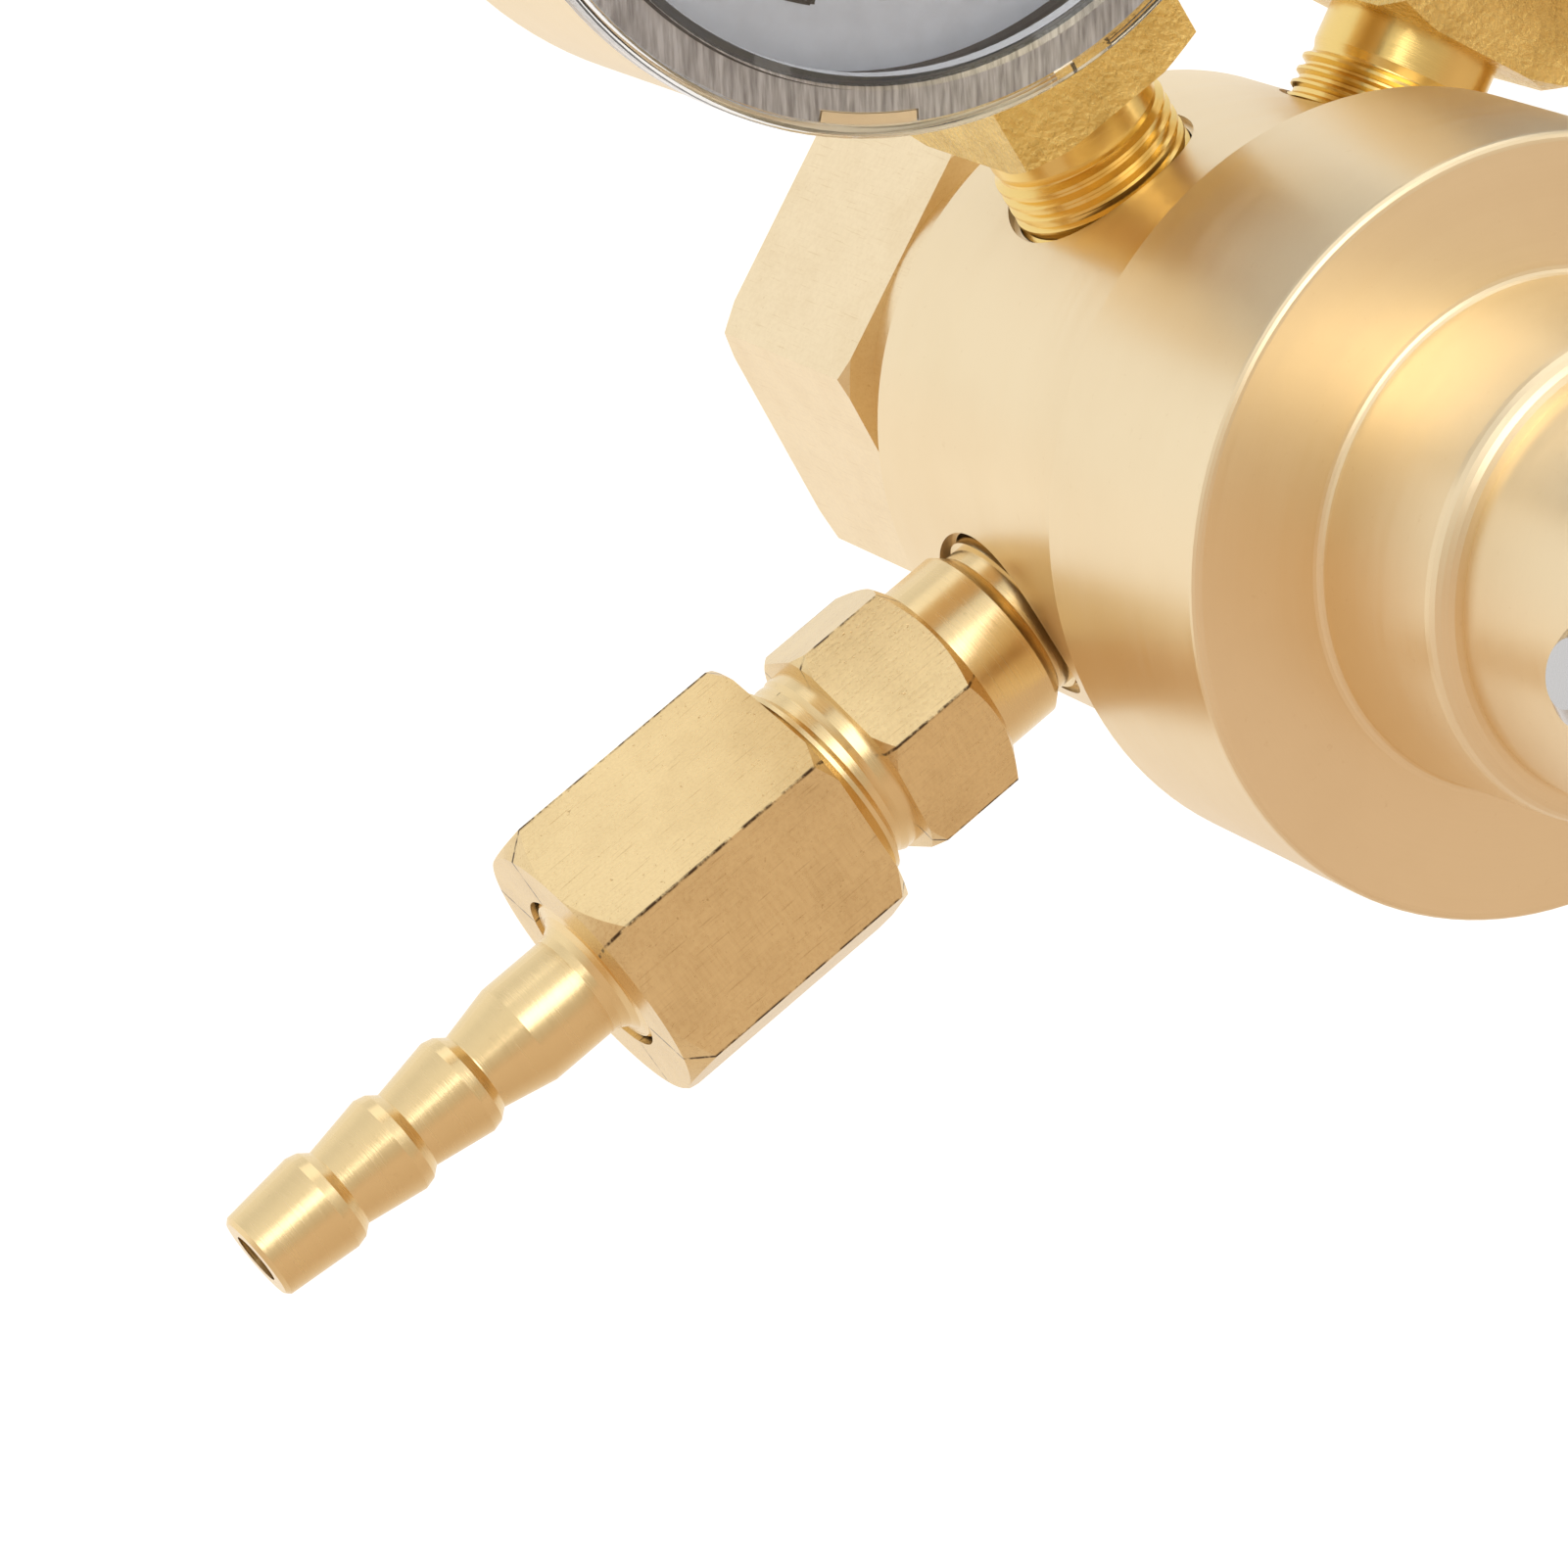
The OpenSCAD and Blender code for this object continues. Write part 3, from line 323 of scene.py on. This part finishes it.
def smooth_material(name, colour, rough, metallic=0.0, grain=0.0, coat=0.0):
    """An even surface with faint darker clouds, and a fine grain where a depth is given."""
    mat, tree, shader = new_material(name)
    coord = object_vector(tree)
    shade = tuple(c * 0.8 for c in colour)
    cloud = ramp(tree, noise(tree, coord, 400, 3.0, 0.6), 0.4, 0.8, 0.0, 0.5)
    tree.links.new(blend_colours(tree, cloud, colour, shade), shader.inputs["Base Color"])
    shader.inputs["Roughness"].default_value = rough
    shader.inputs["Metallic"].default_value = metallic
    shader.inputs["Coat Weight"].default_value = coat
    if grain:
        bump(tree, shader, noise(tree, coord, 2500, 3.0, 0.6), grain)
    return mat


def clear_plastic(name):
    """Clear moulded plastic with a few faint scuffs."""
    mat, tree, shader = new_material(name)
    coord = object_vector(tree)
    scuff = noise(tree, coord, 500, 5.0, 0.7)
    tree.links.new(ramp(tree, scuff, 0.55, 0.8, 0.03, 0.16), shader.inputs["Roughness"])
    shader.inputs["Base Color"].default_value = (0.97, 0.985, 1.0, 1)
    shader.inputs["Transmission Weight"].default_value = 1.0
    shader.inputs["IOR"].default_value = 1.49
    return mat


def brushed_steel(name, place):
    """Steel band with fine marks drawn out along the gauge's axis."""
    mat, tree, shader = new_material(name)
    lines = noise(tree, local_vector(tree, place, (1, 1, 0.1)), 2600, 3.0, 0.6)
    colour = blend_colours(tree, ramp(tree, lines, 0.35, 0.65), STEEL_DARK, STEEL_LIGHT)
    tree.links.new(colour, shader.inputs["Base Color"])
    shader.inputs["Roughness"].default_value = 0.38
    shader.inputs["Metallic"].default_value = 1.0
    bump(tree, shader, lines, STEEL_DEPTH)
    return mat


main_place = forward()
outlet_place = along(OUTLET_ANGLE)
inlet_place = along(INLET_ANGLE)
satin = turned_metal("satin_brass_main", main_place, SATIN, SATIN_DARK, 0.36, axis="Y")
inner_brass = turned_metal("inner_brass", main_place, YELLOW, YELLOW_DARK, 0.28, axis="Y")
cap_brass = milled_metal("cap_brass", main_place, SATIN, SATIN_DARK, 0.36, CAP_LINES)
outlet_brass = turned_metal("outlet_brass", outlet_place, YELLOW, YELLOW_DARK, 0.24, DEEP_GROOVE)
nut_brass = milled_metal("nut_brass", outlet_place, YELLOW, YELLOW_DARK, 0.3, NUT_LINES,
                         NUT_TURN, NUT_BURR)
adapter_brass = milled_metal("adapter_brass", outlet_place, YELLOW, YELLOW_DARK, 0.3, NUT_LINES,
                             ADAPTER_TURN, ADAPTER_BURR)
inlet_brass = milled_metal("inlet_brass", inlet_place, YELLOW, YELLOW_DARK, 0.3, NUT_LINES, 0, NUT_BURR)
nipple_brass = turned_metal("nipple_brass", inlet_place, YELLOW, YELLOW_DARK, 0.24, DEEP_GROOVE)
steel = turned_metal("bright_steel_main", main_place, (0.62, 0.62, 0.63), (0.35, 0.34, 0.33), 0.25)
spring_steel = smooth_material("spring_steel_wire", (0.30, 0.31, 0.33), 0.3, 1.0, 0.000004)
rubber = smooth_material("rubber_black", (0.025, 0.025, 0.026), 0.6, 0.0, 0.00002)
white_seat = smooth_material("seat_white", (0.80, 0.79, 0.75), 0.4)
bronze = cast_metal("filter_bronze", (0.45, 0.30, 0.15), (0.20, 0.12, 0.05))
socket_brass = cast_metal("socket_brass", GOLD, GOLD_DARK)
clear = clear_plastic("lens_clear")
# The dial's white is tinted pale blue, a painted reflection of the pale blue sheen on the lens over it.
dial_white_with_painted_blue_reflection = smooth_material("dial_white_with_painted_blue_reflection", (0.80, 0.84, 0.90), 0.35, 0.0, 0.0, 0.3)
ink = smooth_material("dial_ink", (0.02, 0.02, 0.022), 0.5)

NODE_MATERIALS = {
    satin: ["body", "bonnet"],
    cap_brass: ["rear_cap"],
    inner_brass: ["diaphragm_washer", "spring_button", "adjusting_screw", "nozzle", "poppet"],
    outlet_brass: ["outlet_adapter", "hose_tail"],
    nut_brass: ["outlet_nut"],
    inlet_brass: ["inlet_nut"],
    nipple_brass: ["inlet_nipple"],
    steel: ["pressure_plate", "slip_ring", "cross_bar", "valve_pin"],
    spring_steel: ["range_spring", "poppet_spring"],
    rubber: ["cap_seal", "diaphragm"],
    white_seat: ["seat_disc"],
    bronze: ["inlet_filter"],
}


def paint(obj, material):
    obj.data.materials.clear()
    obj.data.materials.append(material)


for material, names in NODE_MATERIALS.items():
    for name in names:
        paint(frame["nodes"][name], material)


# Meshes

def mesh_piece(name, verts, faces, material, body, sharp=35):
    mesh = bpy.data.meshes.new(name)
    mesh.from_pydata([tuple(v) for v in verts], [], faces)
    mesh.polygons.foreach_set("use_smooth", [True] * len(faces))
    mesh.set_sharp_from_angle(angle=math.radians(sharp))
    obj = bpy.data.objects.new(name, mesh)
    bpy.context.scene.collection.objects.link(obj)
    paint(obj, material)
    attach(obj, body)
    return obj


def helix(place, root, crest, start, end, pitch, steps=56):
    """A thread's ridge, which rises from the root at both ends."""
    turns = (end - start) / pitch
    count = int(turns * steps)
    verts = []
    for i in range(count + 1):
        turn = i / steps
        grow = min(1, turn / 0.4, (turns - turn) / 0.4)
        top = root + (crest - root) * max(0.02, grow)
        middle = start + pitch * turn
        angle = 2 * math.pi * turn
        for radius, offset in ((root - 0.05, -0.49), (top, -0.11), (top, 0.11), (root - 0.05, 0.49)):
            verts.append(place @ Vector((radius * math.cos(angle) * MM, radius * math.sin(angle) * MM,
                                         (middle + offset * pitch) * MM)))
    faces = [(4 * i + j, 4 * i + j + 1, 4 * i + j + 5, 4 * i + j + 4) for i in range(count) for j in range(3)]
    return verts, faces


# Threads: crest's radius, depth, start, end and pitch, in millimetres
SOCKET_THREAD = (6.5, 0.5, 20.2, 25.6, 1.0)
ADAPTER_THREAD = (7.95, 0.85, 38.6, 46.8, 1.5)
INLET_THREAD = (11.45, 1.0, 57.0, 69.8, 1.81)
SCREW_THREAD = (6.0, 0.95, 57.0, 73.6, 1.75)

# Inside these lie the machined faces of a gauge's socket, and the flats of the outlet adapter
STEM_RADIUS = 6.8 * MM
STEM_TOP = 28.75 * MM
ADAPTER_COLLAR = 6.9 * MM
ADAPTER_HEXAGON = (28.3 * MM, 37.0 * MM)


def in_stem(spot):
    return math.hypot(spot.x, spot.y) < STEM_RADIUS and spot.z < STEM_TOP


def in_adapter_hexagon(spot):
    return math.hypot(spot.x, spot.y) > ADAPTER_COLLAR and ADAPTER_HEXAGON[0] < spot.z < ADAPTER_HEXAGON[1]


def threaded(node, place, thread, body, second=None, holds=None, ridge=None):
    """A copy of a CAD node whose thread is sunk to its root, with the ridge round it.

    Faces whose middle the function holds() accepts take the second material."""
    crest, depth, start, end, pitch = thread
    source = frame["nodes"][node]
    material = ridge or source.data.materials[0]
    inverse = place.inverted()
    copy = bpy.data.objects.new(node + "_threaded", source.data.copy())
    bpy.context.scene.collection.objects.link(copy)
    copy.matrix_world = source.matrix_world.copy()
    root = crest - depth
    for vertex in copy.data.vertices:
        spot = inverse @ vertex.co
        radius = math.hypot(spot.x, spot.y) / MM
        if abs(radius - crest) < 0.04 and start - 1.5 < spot.z / MM < end + 1.5:
            spot.x *= root / radius
            spot.y *= root / radius
            vertex.co = place @ spot
    if second:
        copy.data.materials.append(second)
        for face in copy.data.polygons:
            face.material_index = int(holds(inverse @ face.center))
    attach(copy, body)
    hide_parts(node)
    verts, faces = helix(place, root, crest, start, end, pitch)
    mesh_piece(node + "_thread", verts, faces, material, body, 20)


# Gauges

# Radii on a dial, half widths of its ticks and the numbers' height, in millimetres
ARC_RADII = (21.4, 21.7)
TICK_END = 21.6
MAJOR_TICK = (18.2, 0.30)
MINOR_TICK = (19.9, 0.13)
NUMBER_RADIUS = 15.4
NUMBER_SIZE = 3.6
PRINT_LIFT = 0.04
ARC_STEPS = 120
MINOR_PER_MAJOR = 5
DIVISIONS = 5
LOW_TOP = 25
HIGH_TOP = 250


def dial_point(radius, share):
    """A point of the scale, counted clockwise from zero."""
    angle = math.radians(DIAL_ZERO - DIAL_SWEEP * share)
    return Vector((radius * math.cos(angle), radius * math.sin(angle)))


def scale_marks(count, every):
    """Ticks and the thin arc near their outer ends, as flat quads."""
    verts, faces = [], []

    def quad(corners):
        faces.append(tuple(range(len(verts), len(verts) + 4)))
        verts.extend(corners)

    for i in range(count + 1):
        share = i / count
        major = i % every == 0
        inner, half = MAJOR_TICK if major else MINOR_TICK
        first, last = dial_point(inner, share), dial_point(TICK_END, share)
        side = (last - first).normalized().orthogonal() * half
        quad([first - side, first + side, last + side, last - side])
    near, far = ARC_RADII
    for i in range(ARC_STEPS):
        a, b = i / ARC_STEPS, (i + 1) / ARC_STEPS
        quad([dial_point(near, a), dial_point(far, a), dial_point(far, b), dial_point(near, b)])
    return verts, faces


def figure(text, size, centre):
    """The vertices and faces of a figure in Blender's own font, about a centre."""
    curve = bpy.data.curves.new("figure", "FONT")
    curve.body = text
    curve.size = size
    curve.align_x = "CENTER"
    curve.align_y = "CENTER"
    curve.resolution_u = 3
    carrier = bpy.data.objects.new("figure", curve)
    bpy.context.scene.collection.objects.link(carrier)
    bpy.context.view_layer.update()
    mesh = carrier.to_mesh()
    verts = [Vector((v.co.x + centre.x, v.co.y + centre.y)) for v in mesh.vertices]
    faces = [tuple(p.vertices) for p in mesh.polygons]
    carrier.to_mesh_clear()
    bpy.data.objects.remove(carrier)
    return verts, faces


def gauge(prefix, angle, top, divisions):
    """Looks of one gauge, its socket's thread, and the print on its dial."""
    place = gauge_place(prefix + "_dial", angle)
    stem = along(angle)
    case_brass = turned_metal(prefix + "_case_brass", place, SATIN, SATIN_DARK, 0.36)
    looks = {
        "socket": socket_brass,
        "case": case_brass,
        "band": brushed_steel(prefix + "_band_steel", place),
        "lens": clear,
        "gasket": rubber,
        "dial": dial_white_with_painted_blue_reflection,
        "pointer": ink,
        "arbor": steel,
        "sector": inner_brass,
        "link": steel,
        "movement": inner_brass,
        "tube": socket_brass,
    }
    for name, material in looks.items():
        paint(frame["nodes"][prefix + "_" + name], material)
    stem_brass = turned_metal(prefix + "_stem_brass", stem, GOLD, GOLD_DARK, 0.22, DEEP_GROOVE)
    threaded(prefix + "_socket", stem, SOCKET_THREAD, "regulator",
             stem_brass, in_stem, stem_brass)
    parts = [scale_marks(divisions * MINOR_PER_MAJOR, MINOR_PER_MAJOR)]
    for i in range(divisions + 1):
        parts.append(figure(str(top * i // divisions), NUMBER_SIZE, dial_point(NUMBER_RADIUS, i / divisions)))
    all_verts, all_faces = [], []
    for part_verts, part_faces in parts:
        all_faces += [tuple(k + len(all_verts) for k in face) for face in part_faces]
        all_verts += part_verts
    spots = [place @ Vector((v.x * MM, v.y * MM, PRINT_LIFT * MM)) for v in all_verts]
    mesh_piece(prefix + "_dial_print", spots, all_faces, ink, "regulator")


gauge("low", LOW_ANGLE, LOW_TOP, DIVISIONS)
gauge("high", HIGH_ANGLE, HIGH_TOP, DIVISIONS)
threaded("outlet_adapter", outlet_place, ADAPTER_THREAD, "regulator",
         adapter_brass, in_adapter_hexagon)
threaded("inlet_nut", inlet_place, INLET_THREAD, "inlet_swivel")
threaded("adjusting_screw", main_place, SCREW_THREAD, "screw")


# Stage

# Colours of the studio by height, from straight down to straight up
FRONT_STOPS = ((-1.0, (0.42, 0.36, 0.30)), (-0.15, (0.75, 0.62, 0.48)),
               (0.15, (0.62, 0.54, 0.45)), (0.8, (1.0, 0.98, 0.95)))
BACK_STOPS = ((-1.0, (0.6, 0.56, 0.52)), (0.0, (1.0, 0.99, 0.97)),
              (0.5, (1.0, 0.99, 0.98)), (0.9, (0.7, 0.69, 0.68)))
# Glow of the floor in gloss, by how far it lies behind the part, in half metres
FLOOR_GLOSS = ((-1.0, (0.22, 0.10, 0.02)), (-0.1, (0.22, 0.11, 0.03)),
               (0.3, (0.56, 0.56, 0.56)), (1.0, (0.56, 0.56, 0.56)))
# Glow of the floor for the camera and through glass
FLOOR_WHITE = 0.72
FLOOR_BASE = (0.46, 0.42, 0.38)
FLOOR_DROP = 0.09
FLOOR_HALF = 3.0
# World Y over which the front colours give way to those behind
FRONT_TO_BACK = (-0.45, 0.45)
CLIP = (0.01, 50)


def camera():
    data = bpy.data.cameras.new("camera")
    data.sensor_width = SENSOR
    data.sensor_fit = "HORIZONTAL"
    data.lens = CAMERA_LENS
    data.clip_start, data.clip_end = CLIP
    obj = bpy.data.objects.new("camera", data)
    bpy.context.scene.collection.objects.link(obj)
    up = CAMERA_BACK.cross(CAMERA_RIGHT).normalized()
    right = up.cross(CAMERA_BACK).normalized()
    turn = Matrix((right, up, CAMERA_BACK.normalized())).transposed().to_4x4()
    obj.matrix_world = Matrix.Translation(CAMERA_AT) @ turn
    bpy.context.scene.camera = obj


def lamp(name, at, size, power, colour=(1, 1, 1)):
    """A soft box that faces the part."""
    data = bpy.data.lights.new(name, "AREA")
    data.shape = "RECTANGLE"
    data.size, data.size_y = size
    data.energy = power
    data.color = colour
    obj = bpy.data.objects.new(name, data)
    bpy.context.scene.collection.objects.link(obj)
    obj.location = at
    obj.rotation_mode = "QUATERNION"
    obj.rotation_quaternion = (Vector((AXIS_X, 0, 0)) - Vector(at)).to_track_quat("-Z", "Y")


def white_for_rays(tree):
    """One for rays that come from the camera and through glass."""
    path = add(tree, "ShaderNodeLightPath")
    return math_node(tree, "MAXIMUM", path.outputs["Is Camera Ray"], path.outputs["Is Transmission Ray"])


def colour_ramp(tree, value, stops):
    """A ramp of colours over -1 to 1."""
    node = add(tree, "ShaderNodeValToRGB")
    for _ in stops[2:]:
        node.color_ramp.elements.new(0.5)
    for element, (place, _) in zip(node.color_ramp.elements, stops):
        element.position = (place + 1) / 2
    for element, (_, colour) in zip(node.color_ramp.elements, stops):
        element.color = (*colour, 1)
    tree.links.new(ramp(tree, value, -1, 1), node.inputs["Fac"])
    return node.outputs["Color"]


def world():
    """A white studio whose front side, behind the camera, is darker and warmer."""
    scene_world = bpy.data.worlds.new("studio")
    scene_world.use_nodes = True
    bpy.context.scene.world = scene_world
    tree = scene_world.node_tree
    tree.nodes.clear()
    coord = add(tree, "ShaderNodeTexCoord")
    split = add(tree, "ShaderNodeSeparateXYZ")
    tree.links.new(coord.outputs["Generated"], split.inputs[0])
    front = colour_ramp(tree, split.outputs["Z"], FRONT_STOPS)
    back = colour_ramp(tree, split.outputs["Z"], BACK_STOPS)
    mix = add(tree, "ShaderNodeMix", data_type="RGBA")
    tree.links.new(ramp(tree, split.outputs["Y"], *FRONT_TO_BACK), mix.inputs["Factor"])
    tree.links.new(front, mix.inputs["A"])
    tree.links.new(back, mix.inputs["B"])
    soft = add(tree, "ShaderNodeBackground")
    tree.links.new(mix.outputs["Result"], soft.inputs["Color"])
    plain = add(tree, "ShaderNodeBackground")
    plain.inputs["Color"].default_value = (1, 1, 1, 1)
    choose = add(tree, "ShaderNodeMixShader")
    tree.links.new(white_for_rays(tree), choose.inputs[0])
    tree.links.new(soft.outputs[0], choose.inputs[1])
    tree.links.new(plain.outputs[0], choose.inputs[2])
    out = add(tree, "ShaderNodeOutputWorld")
    tree.links.new(choose.outputs[0], out.inputs["Surface"])


def floor():
    """A pale floor below the part, which glows white for the camera and in shades for gloss."""
    z = cad_box[0][2] - FLOOR_DROP
    half = FLOOR_HALF
    mesh = bpy.data.meshes.new("floor")
    corners = [(-half, -half, z), (half, -half, z), (half, half, z), (-half, half, z)]
    mesh.from_pydata(corners, [], [(0, 1, 2, 3)])
    obj = bpy.data.objects.new("floor", mesh)
    bpy.context.scene.collection.objects.link(obj)
    mat, tree, shader = new_material("floor_white")
    shader.inputs["Base Color"].default_value = (*FLOOR_BASE, 1)
    shader.inputs["Roughness"].default_value = 0.8
    glow = add(tree, "ShaderNodeEmission")
    place = add(tree, "ShaderNodeSeparateXYZ")
    tree.links.new(object_vector(tree), place.inputs[0])
    behind = colour_ramp(tree, times(tree, place.outputs["Y"], 2), FLOOR_GLOSS)
    path = add(tree, "ShaderNodeLightPath")
    shown = add(tree, "ShaderNodeMix", data_type="RGBA")
    tree.links.new(path.outputs["Is Glossy Ray"], shown.inputs["Factor"])
    shown.inputs["A"].default_value = (FLOOR_WHITE, FLOOR_WHITE, FLOOR_WHITE, 1)
    tree.links.new(behind, shown.inputs["B"])
    tree.links.new(shown.outputs["Result"], glow.inputs["Color"])
    lit = math_node(tree, "MAXIMUM", white_for_rays(tree), path.outputs["Is Glossy Ray"])
    tree.links.new(lit, glow.inputs["Strength"])
    total = add(tree, "ShaderNodeAddShader")
    tree.links.new(shader.outputs[0], total.inputs[0])
    tree.links.new(glow.outputs[0], total.inputs[1])
    tree.links.new(total.outputs[0], tree.nodes["Material Output"].inputs["Surface"])
    obj.data.materials.append(mat)


camera()
world()
floor()
lamp("key", (-0.25, -0.7, 0.55), (0.7, 0.4), 1.6)
lamp("top", (0.0, 0.15, 0.8), (0.8, 0.6), 0.8)
lamp("side", (0.7, -0.5, 0.25), (0.2, 0.7), 0.5, (1, 0.94, 0.86))
bpy.context.scene.view_settings.view_transform = "Standard"
